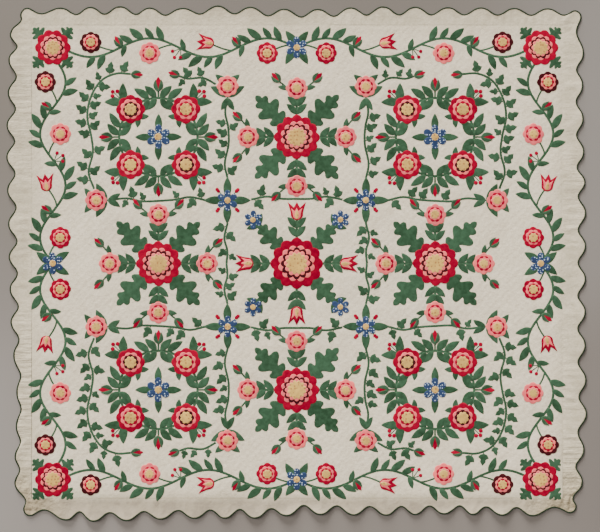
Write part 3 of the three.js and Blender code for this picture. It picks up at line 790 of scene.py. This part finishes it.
# Creases in the border strip, each from one point to another, with its height before scaling and its width.
# They fan out round the two bottom corners, where the strip is eased in, and lie here and there elsewhere.
CREASES = [
    (1150, -1192, 1196, -1108, 1.5, 11), (1178, -1196, 1226, -1104, -1.6, 10),
    (1206, -1196, 1246, -1100, 2.0, 10), (1234, -1190, 1262, -1092, -1.8, 10),
    (1258, -1182, 1280, -1080, 2.1, 10), (1282, -1168, 1298, -1062, -1.7, 10),
    (1302, -1146, 1300, -1040, 1.8, 11), (1322, -1100, 1262, -1052, 1.5, 11),
    (1326, -1056, 1258, -1016, -1.5, 10), (1330, -1006, 1254, -972, 1.7, 10),
    (1326, -950, 1254, -930, -1.4, 10), (1330, -900, 1256, -876, 1.4, 11),
    (1326, -836, 1254, -826, -1.2, 11), (1090, -1196, 1130, -1112, -1.4, 11),
    (1050, -1192, 1078, -1112, 1.2, 11), (-1150, -1190, -1186, -1106, 1.5, 11),
    (-1182, -1192, -1222, -1100, -1.7, 10), (-1212, -1186, -1250, -1092, 1.9, 10),
    (-1240, -1176, -1270, -1080, -1.7, 10), (-1264, -1160, -1290, -1058, 2.0, 10),
    (-1292, -1136, -1300, -1036, -1.6, 10), (-1320, -1086, -1258, -1044, 1.6, 10),
    (-1322, -1030, -1254, -1000, -1.5, 10), (-1322, -976, -1252, -952, 1.5, 11),
    (-1326, -920, -1252, -900, -1.2, 11), (-1326, -850, -1252, -838, 1.2, 11),
    (-1096, -1192, -1124, -1110, 1.3, 11), (-986, -1190, -960, -1110, 1.3, 11),
    (-820, -1186, -846, -1112, -1.2, 11), (-700, -1190, -672, -1112, 1.2, 11),
    (-540, -1186, -574, -1110, -1.3, 11), (-330, -1188, -306, -1112, 1.1, 11),
    (-120, -1186, -152, -1110, 1.2, 11), (60, -1190, 92, -1112, -1.2, 11),
    (270, -1186, 240, -1110, 1.3, 11), (420, -1188, 452, -1112, 1.1, 11),
    (640, -1184, 606, -1110, -1.2, 11), (812, -1190, 846, -1112, 1.3, 11),
    (956, -1186, 928, -1110, -1.1, 11), (1328, -640, 1256, -622, 1.1, 11),
    (1330, -470, 1256, -486, -1.0, 11), (1326, -250, 1256, -232, 1.1, 11),
    (1330, -60, 1256, -74, -1.0, 11), (1330, 170, 1256, 154, 1.1, 11),
    (1326, 384, 1256, 396, -1.0, 11), (1330, 620, 1256, 640, 1.1, 11),
    (1326, 838, 1256, 826, 1.0, 11), (-1330, -560, -1252, -574, 1.0, 11),
    (-1330, -330, -1252, -316, -1.0, 11), (-1326, -90, -1252, -106, 1.1, 11),
    (-1330, 200, -1252, 214, 1.0, 11), (-1326, 420, -1252, 408, -1.0, 11),
    (-1326, 700, -1252, 716, 1.1, 11), (-1300, 930, -1252, 918, -0.9, 11),
    (1296, 1176, 1238, 1122, 1.1, 11), (1318, 1110, 1256, 1084, -1.0, 11),
    (-1262, 1176, -1222, 1124, 1.1, 11),
]


def beyond_seam(points):
    """How far the points are outside the seam, negative in the field."""
    return (np.abs(points - SEAM_MIDDLE) - SEAM_HALF).max(axis=1)


def quilted(points):
    """Where the crossed quilting shows: 1 in bare field, 0 under and close to a patch and in the border."""
    clear = np.clip(read_map(from_patch, map_x, map_y, points) / CLEAR_OF_PATCH_MM, 0, 1)
    return clear * np.clip(-beyond_seam(points) / CLEAR_OF_SEAM_MM, 0, 1)


def cloth_height(points):
    """The height of the quilt's face over its flat back, in millimetres."""
    u = points[:, 0] / (FIELD_WIDTH / CELLS_ACROSS * CELLS_PER_DIAMOND)
    v = points[:, 1] / (FIELD_LENGTH / CELLS_DOWN * CELLS_PER_DIAMOND)
    open_cloth = np.abs(np.sin(math.pi * (u + v)) * np.sin(math.pi * (u - v))) ** 0.55
    under = np.clip(read_map(into_patch, map_x, map_y, points) / PADDING_REACH_MM, 0, 1)
    height = STITCHED_MM + PUFF_MM * open_cloth * quilted(points) + PATCH_PADDING_MM * under
    for phase, heading, length in SWELLS:
        run = points[:, 0] * math.cos(heading) + points[:, 1] * math.sin(heading)
        height += 0.0016 * length**0.9 * np.sin(2 * math.pi * run / length + phase)
    # The border strip's ripples run out from the seam to the edge, and the seam lies a little lower.
    beyond = beyond_seam(points)
    on_side = np.abs(points[:, 0]) / SEAM_HALF[0] > np.abs(points[:, 1]) / SEAM_HALF[1]
    run = np.where(on_side, points[:, 1], points[:, 0])
    ripple = np.sin(2 * math.pi * run / RIPPLE_PITCH_MM + 2.4 * np.sin(run / 83))
    ripple = ripple * (0.6 + 0.4 * np.sin(run / 131))
    seam_depth = SEAM_DEPTH_MM + SEAM_DEEPER_MM * np.clip(-points[:, 1] / 900, 0, 1)
    seam_line = np.exp(-((beyond / SEAM_WIDTH_MM) ** 2))
    height += RIPPLE_MM * ripple * np.clip(beyond / 30, 0, 1) - seam_depth * seam_line
    for x1, y1, x2, y2, rise, width in CREASES:
        line = np.array([x2 - x1, y2 - y1])
        away = points - (x1, y1)
        t = np.clip(away @ line / (line @ line), 0, 1)
        distance = np.linalg.norm(away - t[:, None] * line, axis=1)
        height += CREASE_SCALE * rise * np.exp(-((distance / width) ** 2)) * np.sin(math.pi * (0.1 + 0.8 * t))
    return height


columns, rows = CELLS_ACROSS + 1, CELLS_DOWN + 1
grid_x = (np.arange(columns) / CELLS_ACROSS - 0.5) * FIELD_WIDTH
grid_y = (np.arange(rows) / CELLS_DOWN - 0.5) * FIELD_LENGTH
field = np.stack(np.meshgrid(grid_x, grid_y), 2).reshape(-1, 2)
field_height = cloth_height(field)
index = np.arange(columns * rows).reshape(rows, columns)
rim = np.concatenate([index[0, :-1], index[:-1, -1], index[-1, :0:-1], index[:0:-1, 0]])
edge_points, edge_outward, edge_lift = cut_edge([CELLS_ACROSS, CELLS_DOWN, CELLS_ACROSS, CELLS_DOWN])
edge_points = edge_points - edge_outward * BINDING_WIDTH * 0.7
faces = np.stack([index[:-1, :-1], index[:-1, 1:], index[1:, 1:], index[1:, :-1]], 2).reshape(-1, 4).tolist()
vertices = [np.column_stack([field, field_height])]
rings = [rim]
total = len(field)
for ring in range(1, BORDER_RINGS + 1):
    share = ring / BORDER_RINGS
    flat = field[rim] + (edge_points - field[rim]) * share
    height = cloth_height(flat)
    height += (STITCHED_MM - height) * share**4 + edge_lift * share**2
    vertices.append(np.column_stack([flat, height]))
    rings.append(np.arange(total, total + len(rim)))
    total += len(rim)
for ring in range(UNDER_RINGS, -1, -1):
    share = ring / UNDER_RINGS
    flat = field[rim] + (edge_points - field[rim]) * share
    vertices.append(np.column_stack([flat, edge_lift * share**2]))
    rings.append(np.arange(total, total + len(rim)))
    total += len(rim)
for inner, outer in zip(rings, rings[1:]):
    faces += np.stack([inner, outer, np.roll(outer, -1), np.roll(inner, -1)], 1).tolist()
faces.append(rings[-1][::-1].tolist())
vertices = np.vstack(vertices)


# In cloth of this kind the threads are about 0.5 mm apart. They are drawn 1.6 mm apart, so that they show.
THREAD_MM = 1.6
THREAD_HEIGHT_MM = 0.05
SLUB_MM = 5
CRUMPLE_MM = 14


def uneven(node, place, size_mm, low, high, most=1):
    """Soft patches of about one size, from 0 where their noise is low to the most where it is high."""
    noise = node("TexNoise", place, 1000 / size_mm, 4, 0.6)
    return node("MapRange.SMOOTHSTEP", noise, low, high, 0, most)


def crossed_waves(node, place, pitch_mm):
    """The product of a wave along x and a wave along y, as threads or small stitches have."""
    turn = 2 * math.pi / (pitch_mm / 1000)
    axes = node("SeparateXYZ", place).node.outputs[:2]
    return node("Math.MULTIPLY", *[node("Math.SINE", node("Math.MULTIPLY", axis, turn)) for axis in axes])


def finish_cloth(node, colour, relief, roughness, shine):
    """Feeds a cloth's shader and its output."""
    finish = {"Roughness": roughness, "IOR": 1.45, "Specular IOR Level": shine}
    node("OutputMaterial", node("BsdfPrincipled", sockets={"Base Color": colour, "Normal": relief, **finish}))


def woven_relief(node, place, pucker_mm, pucker_height_mm, more=0.0):
    """The normal of puckered plain-woven cloth, with more relief in millimetres where it has some."""
    slub = node("TexNoise", place, 1000 / SLUB_MM, 2, 0.6)
    threads = node("Math.MULTIPLY", crossed_waves(node, place, THREAD_MM), slub)
    puckers = node("TexNoise", place, 1000 / pucker_mm, 3, 0.6)
    height = node("Math.MULTIPLY_ADD", puckers, pucker_height_mm, more)
    height = node("Math.MULTIPLY_ADD", threads, THREAD_HEIGHT_MM, height)
    return node("Bump", sockets={"Strength": 1, "Distance": 0.001, "Height": height})


# Cream cotton muslin, plain woven and many times washed. It is matt, slightly mottled, duller in the border
# strip, darker in soft patches along the bottom, stained and crumpled at the two bottom corners, and a little
# darker along the quilting lines.
muslin, node, place = new_material("washed_cotton_muslin")
x, y = node("SeparateXYZ", place).node.outputs[:2]
past_sides = []
for axis, middle, half in zip((x, y), SEAM_MIDDLE / 1000, SEAM_HALF / 1000):
    from_middle = node("Math.ABSOLUTE", node("Math.SUBTRACT", axis, middle))
    past_sides.append(node("Math.SUBTRACT", from_middle, half))
past_seam = node("Math.MAXIMUM", *past_sides)
in_border = node("MapRange.SMOOTHSTEP", past_seam, -0.001, 0.002)
near_border = node("MapRange.SMOOTHSTEP", past_seam, -0.09, 0.01, 0, 0.4)
at_bottom = node("MapRange.SMOOTHSTEP", y, -1.08, -1.13)
mottled = uneven(node, place, 38, 0.35, 0.75, 0.3)
cream = node("Mix.RGBA", node("TexNoise", place, 1000 / 420, 4, 0.6), "#d0c1a7", "#dfd0b7")
cream = node("Mix.RGBA", mottled, cream, "#b8a98c")
cream = node("Mix.RGBA", near_border, cream, "#b3a78c")
cloudy = uneven(node, place, 130, 0.3, 0.7)
strip = node("Mix.RGBA", cloudy, "#aea28a", "#c9bca2")
strip = node("Mix.RGBA", mottled, strip, "#8f8268")
strip = node("Mix.RGBA", node("Math.MULTIPLY", at_bottom, 0.85), strip, "#837564")

# The strip's tone runs softly into the field's. At the bottom it starts at the seam, and has darker soft
# patches.
softly = node("MapRange.SMOOTHSTEP", past_seam, -0.05, 0.05)
strip_share = node("Math.SUBTRACT", in_border, softly)
strip_share = node("Math.MULTIPLY_ADD", strip_share, at_bottom, softly)
strip_share = node("Math.MULTIPLY", strip_share, 0.75)
cloth = node("Mix.RGBA", strip_share, cream, strip)
# The cloth is darker in soft patches along the bottom.
dark_patches_at_bottom = uneven(node, place, 80, 0.46, 0.6, 0.35)
dark_patches_at_bottom = node("Math.MULTIPLY", dark_patches_at_bottom, at_bottom)
cloth = node("Mix.RGBA", dark_patches_at_bottom, cloth, "#6f6559")
grain = uneven(node, place, 9, 0.4, 0.7, 0.3)
cloth = node("Mix.RGBA", grain, cloth, "#a09276")
crumple = 0.0
for corner, reach in [((1.31, -1.16, 0), 0.34), ((-1.27, -1.14, 0), 0.26)]:
    away = node("VectorMath.DISTANCE", place, corner)
    away = node("Math.MULTIPLY_ADD", node("TexNoise", place, 1000 / 90, 4, 0.6), 0.2, away)
    stain = node("MapRange.SMOOTHSTEP", away, reach + 0.1, 0.4 * reach, 0, 0.7)
    crushed = node("TexNoise", place, 1000 / 34, 2, 0.6)
    crumple = node("Math.MULTIPLY_ADD", stain, crushed, crumple)
    stain = node("Math.MULTIPLY", stain, in_border)
    cloth = node("Mix.RGBA", stain, cloth, "#8f8063")

# Fine pleats cross the strip from its seam to its edge, about 16 mm apart. They are deeper where it was
# eased in, and the bottom corners are crumpled.
pleats = []
for stretch in [(9, 62, 1), (62, 9, 1)]:
    pleats.append(node("TexNoise", node("Mapping", place, sockets={"Scale": stretch}), 1, 2, 0.5))
at_ends = node("Math.GREATER_THAN", past_sides[1], past_sides[0])
pleat = node("Mix", at_ends, *pleats)
drawn_up = node("TexNoise", place, 1000 / 260, 2, 0.6)
drawn_up = node("MapRange.SMOOTHSTEP", drawn_up, 0.42, 0.62, 0.5, 1.6)
for middle, reach, more in [
    ((-1.3, -0.6, 0), 0.45, 4.5),
    ((1.3, -0.95, 0), 0.3, 3.5),
    ((-1.3, 0.72, 0), 0.3, 2.5),
    ((1.3, 0.35, 0), 0.3, 1.5),
    ((-0.9, 1.15, 0), 0.3, 1.5),
]:
    away = node("VectorMath.DISTANCE", place, middle)
    near = node("MapRange.SMOOTHSTEP", away, reach, 0.2 * reach, 0, more)
    drawn_up = node("Math.ADD", drawn_up, near)
pleat = node("Math.MULTIPLY", pleat, drawn_up)
pleat = node("Math.MULTIPLY_ADD", crumple, CRUMPLE_MM, pleat)
pleat = node("Math.MULTIPLY", pleat, in_border)

# The seam's line shows most at the bottom.
seam_line = node("Math.ABSOLUTE", past_seam)
seam_line = node("MapRange.SMOOTHSTEP", seam_line, 0.004, 0.001)
seam_shows = node("MapRange.SMOOTHSTEP", y, -0.2, -1.0, 0.04, 0.24)
bottom_seam = node("MapRange.SMOOTHSTEP", y, -1.08, -1.1, 0, 0.3)
seam_shows = node("Math.ADD", seam_shows, bottom_seam)
seam_shows = node("Math.MULTIPLY", seam_line, seam_shows)
cloth = node("Mix.RGBA", seam_shows, cloth, "#7d7058")

# The lines of stitches are 28 mm apart. Each stitch is 2.3 mm long, with as much cloth before the next.
across = node("Math.MULTIPLY", x, 1000 * CELLS_ACROSS / FIELD_WIDTH / CELLS_PER_DIAMOND)
down = node("Math.MULTIPLY", y, 1000 * CELLS_DOWN / FIELD_LENGTH / CELLS_PER_DIAMOND)
rising = node("Math.ADD", across, down)
falling = node("Math.SUBTRACT", across, down)
shows = node("Attribute", output="Fac", attribute_name="quilted")
for line, along in ((rising, falling), (falling, rising)):
    distance = node("Math.PINGPONG", line, 0.5)
    # The cloth is a little darker along each line of stitches.
    darker_at_line = node("MapRange.SMOOTHSTEP", distance, 0.16, 0, 0, 0.16)
    darker_at_line = node("Math.MULTIPLY", darker_at_line, shows)
    cloth = node("Mix.RGBA", darker_at_line, cloth, "#a8987c")
    stitch = node("Math.FRACT", node("Math.MULTIPLY", along, 6))
    stitch = node("Math.LESS_THAN", stitch, 0.5)
    thread = node("Math.MULTIPLY", node("Math.LESS_THAN", distance, 0.018), stitch)
    thread = node("Math.MULTIPLY", node("Math.MULTIPLY", thread, shows), 0.8)
    cloth = node("Mix.RGBA", thread, cloth, "#f1e6d0")
finish_cloth(node, cloth, woven_relief(node, place, 13, 1.4, pleat), 0.95, 0.2)
quilt = add_object("quilt_cloth", vertices, faces, muslin)
quilt.data.attributes.new("quilted", "FLOAT", "POINT").data.foreach_set("value", quilted(vertices[:, :2]))
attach(quilt, "root")
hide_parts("quilt")

# Binding: dark olive cotton cut on the bias, folded over the scalloped edge and felled down on both faces.
# It is put on in four lengths, which meet at the corner tips, and it is worn along its fold.
BINDING_THICKNESS = 4.8
BINDING_SHOWN = 7.6
SECTION_POINTS = 10
POINTS_PER_SCALLOP = 20
WIDTH_WANDER = 0.09
edge_points, edge_outward, edge_lift = cut_edge([side["scallops"] * POINTS_PER_SCALLOP for side in SIDES])
turn = 2 * math.pi * np.arange(SECTION_POINTS) / SECTION_POINTS
section_in = BINDING_SHOWN / 2 * (1 - np.sign(np.cos(turn)) * np.abs(np.cos(turn)) ** 0.8)
section_up = BINDING_THICKNESS / 2 * (1 + np.sign(np.sin(turn)) * np.abs(np.sin(turn)) ** 0.8)
station = np.arange(len(edge_points))
wander = 1 + WIDTH_WANDER * np.sin(station * 0.9) * np.sin(station * 0.23)
flat = edge_points[:, None] - edge_outward[:, None] * (section_in * wander[:, None])[:, :, None]
height = edge_lift[:, None] + section_up[None, :]
tube = np.concatenate([flat, height[:, :, None]], 2).reshape(-1, 3)
index = np.arange(len(tube)).reshape(-1, SECTION_POINTS)
following = np.roll(index, -1, axis=0)
faces = np.stack([index, following, np.roll(following, -1, axis=1), np.roll(index, -1, axis=1)], 2)

bias_cotton, node, place = new_material("dark_olive_bias_cotton")
olive = node("Mix.RGBA", node("TexNoise", place, 1000 / 60, 4, 0.6), "#1a2418", "#26321f")
worn = uneven(node, place, 14, 0.5, 0.75, 0.5)
olive = node("Mix.RGBA", worn, olive, "#414839")
finish_cloth(node, olive, woven_relief(node, place, 9, 0.4), 0.9, 0.15)
binding = add_object("binding", tube, faces.reshape(-1, 4).tolist(), bias_cotton)
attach(binding, "root")
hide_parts("binding_bottom", "binding_right", "binding_top", "binding_left")

# Patches: each is cut from dyed or printed cotton, its edge is turned under with the needle, and it is
# sewn to the top. A patch stands a little proud of what is under it, and its edge is rounded. Each has a
# tone of its own within its dye.
PATCH_MM = 0.55
TURNED_EDGE_MM = 0.35
CROWN_MM = 0.1
CROWN_REACH_MM = 12
SKIRT_MM = 0.5
SKIRT_DROP_MM = 0.7
EDGE_ROUND_MM = 1.6
PATCH_STEP_MM = 9
TONE_STEP = 0.618


def spaced(outline, step=6.0):
    """The outline with points added on its long straight stretches."""
    out = []
    for a, b in zip(outline, np.roll(outline, -1, axis=0)):
        pieces = max(1, int(np.linalg.norm(b - a) / step + 0.5))
        out += [a + (b - a) * i / pieces for i in range(pieces)]
    return np.array(out)


def distance_to(outline, points):
    """How far each point is from the outline."""
    a, run = outline, np.roll(outline, -1, axis=0) - outline
    away = points[:, None] - a[None]
    t = np.clip((away * run).sum(axis=2) / np.maximum((run**2).sum(axis=1), 1e-9), 0, 1)
    return np.linalg.norm(away - t[:, :, None] * run[None], axis=2).min(axis=1)


def ground_height(points):
    """The height of the quilt's own faces at the points."""
    in_field = (np.abs(points) < (FIELD_WIDTH / 2, FIELD_LENGTH / 2)).all(axis=1)
    on_faces = read_map(field_height.reshape(rows, columns), grid_x, grid_y, points)
    return np.where(in_field, on_faces, cloth_height(points))


def sewn_patch(outline, layer, spine):
    """The vertices and faces of one patch, and how far in from its edge each vertex is."""
    outline = spaced(outline)
    if spine is None:
        low, high = outline.min(axis=0), outline.max(axis=0)
        start = np.floor(low / PATCH_STEP_MM) * PATCH_STEP_MM
        steps = [np.arange(s, h, PATCH_STEP_MM) for s, h in zip(start, high)]
        inner = np.stack(np.meshgrid(*steps), 2).reshape(-1, 2)
        inner = inner[inside(outline, inner)]
        inner = inner[distance_to(outline, inner) > 0.45 * PATCH_STEP_MM] if len(inner) else inner
    else:
        first, last = spine[0] * 0.7 + spine[1] * 0.3, spine[-1] * 0.7 + spine[-2] * 0.3
        inner = np.vstack([first, spine[1:-1], last])
    count = len(outline)
    loop = [(i, (i + 1) % count) for i in range(count)]
    following = np.roll(outline, -1, axis=0)
    turns_left = (outline[:, 0] * following[:, 1] - outline[:, 1] * following[:, 0]).sum() > 0
    along = following - np.roll(outline, 1, axis=0)
    along /= np.maximum(np.linalg.norm(along, axis=1), 1e-6)[:, None]
    outward = np.stack([along[:, 1], -along[:, 0]], 1) * (1 if turns_left else -1)
    rounded = outline - outward * EDGE_ROUND_MM
    rounded = rounded[inside(outline, rounded)]
    inner = np.vstack([inner, rounded[distance_to(outline, rounded) > 0.8 * EDGE_ROUND_MM]])
    made = delaunay_2d_cdt([Vector(p) for p in np.vstack([outline, inner])], loop, [], 1, 1e-5)
    flat = np.array([tuple(v) for v in made[0]])
    came_from = {old: new for new, olds in enumerate(made[3]) for old in olds}
    rim = [came_from[i] for i in range(count)]
    inward = distance_to(outline, flat)
    rise = PATCH_MM * layer + TURNED_EDGE_MM * np.clip(inward / EDGE_ROUND_MM, 0, 1)
    rise += CROWN_MM * np.clip(inward / CROWN_REACH_MM, 0, 1)
    top = np.column_stack([flat, ground_height(flat) + rise])
    skirt_flat = outline + outward * SKIRT_MM
    skirt = np.column_stack([skirt_flat, ground_height(skirt_flat) + PATCH_MM * layer - SKIRT_DROP_MM])
    walls = [(rim[i], len(flat) + i, len(flat) + j, rim[j]) for i, j in loop]
    if not turns_left:
        walls = [wall[::-1] for wall in walls]
    return np.vstack([top, skirt]), list(made[2]) + walls, np.concatenate([inward, np.zeros(count)])


def sew_on(group, cloth, material, nodes, slot):
    """Joins a group's patches of one cloth into one piece, which stands for those solids."""
    vertices, faces, tones, insets, total = [], [], [], [], 0
    for number, patch in enumerate(patches):
        if patch["group"] != group or patch["cloth"] != cloth:
            continue
        points, patch_faces, inward = sewn_patch(patch["outline"], patch["layer"], patch["spine"])
        vertices.append(points)
        faces += [[i + total for i in face] for face in patch_faces]
        tones += [number * TONE_STEP % 1] * len(points)
        insets += inward.tolist()
        total += len(points)
    if not vertices:
        return None
    made = add_object(f"{group}_{cloth}_patches", np.vstack(vertices), faces, material)
    made.data.attributes.new("tone", "FLOAT", "POINT").data.foreach_set("value", tones)
    made.data.attributes.new("inset", "FLOAT", "POINT").data.foreach_set("value", insets)
    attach(made, "root")
    if nodes:
        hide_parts(*nodes)
    return made


OVERCAST_PITCH_MM = 4
OVERCAST_LENGTH_MM = 1.3


def dyed_cotton(name, dark, light, faded, prints=()):
    """Plain-woven cotton: each patch and each wash has changed its dye a little, and its edges are worn.

    Each print is a figure's colour, the pitch and the width of the figures in millimetres, and its strength.
    """
    material, node, place = new_material(name)
    tone = node("Attribute", output="Fac", attribute_name="tone")
    inset = node("Attribute", output="Fac", attribute_name="inset")
    blend = node("Math.MULTIPLY_ADD", tone, 0.4, uneven(node, place, 22, 0.25, 0.75, 0.6))
    colour = node("Mix.RGBA", blend, dark, light)
    for figure, pitch_mm, width_mm, strength in prints:
        cells = node("TexVoronoi", place, sockets={"Scale": 1000 / pitch_mm, "Randomness": 0.55})
        rim = width_mm / pitch_mm / 2
        shape = node("MapRange.SMOOTHSTEP", cells, 1.15 * rim, 0.85 * rim, 0, strength)
        colour = node("Mix.RGBA", shape, colour, figure)
    wear = node("MapRange.SMOOTHSTEP", inset, 4, 0, 0, 0.45)
    wear = node("Math.MULTIPLY", wear, node("TexNoise", place, 1000 / 12, 4, 0.6))
    colour = node("Mix.RGBA", wear, colour, faded)
    # Small overcast stitches in matching thread hold the turned edge down.
    stitch = node("Math.GREATER_THAN", crossed_waves(node, place, OVERCAST_PITCH_MM), 0.3)
    at_edge = node("Math.LESS_THAN", inset, OVERCAST_LENGTH_MM)
    stitch = node("Math.MULTIPLY", node("Math.MULTIPLY", stitch, at_edge), 0.8)
    colour = node("Mix.RGBA", stitch, colour, faded)
    finish_cloth(node, colour, woven_relief(node, place, 12, 0.35), 0.92, 0.03)
    return material


# The dyes: an overdyed green, turkey red, double pink with its darker figures, a tan print with rust figures,
# madder brown, and indigo calico with white sprigs.
TAN_PRINTS = [("#7a4030", 17, 9, 0.55), ("#8c5c30", 8, 3, 0.5)]
CLOTHS = {
    "green": (dyed_cotton("overdyed_green_cotton", "#223724", "#3b5740", "#4a624a"), "green_cotton"),
    "red": (dyed_cotton("turkey_red_cotton", "#6a011a", "#9c0229", "#a31c38"), "red_cotton"),
    "pink": (
        dyed_cotton("double_pink_calico", "#c0525a", "#ee6c64", "#ee8a78", [("#a03048", 7, 3, 0.5)]),
        "pink_cotton",
    ),
    "tan": (
        dyed_cotton("tan_yellow_calico", "#a8834a", "#d2a858", "#d8b478", TAN_PRINTS),
        "tan_cotton",
    ),
    "brown": (dyed_cotton("madder_brown_cotton", "#30080e", "#411619", "#563633"), None),
    "blue": (
        dyed_cotton("indigo_calico", "#222e48", "#30405e", "#46546c", [("#b4c2d0", 12, 6, 0.85)]),
        None,
    ),
}
cad_nodes = list(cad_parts)
sewn = []
for group in dict.fromkeys(patch["group"] for patch in patches):
    prefix = {"setting": "leaf_cross", "corners": "corner_rose"}.get(group, group)
    own = [n for n in cad_nodes if n.startswith(prefix)]
    for cloth, (material, slot) in CLOTHS.items():
        if cloth == "green":
            stands_for = [n for n in own if n.endswith("_leaves") or n.startswith(("vine", "leaf_cross"))]
        elif cloth == "red":
            stands_for = [n for n in own if n.endswith("_red") or ("rose" in n and n[-1].isdigit())]
        else:
            stands_for = [n for n in own if n.endswith("_" + cloth)]
        sewn.append(sew_on(group, cloth, material, stands_for, slot))
sewn = [piece for piece in sewn if piece]
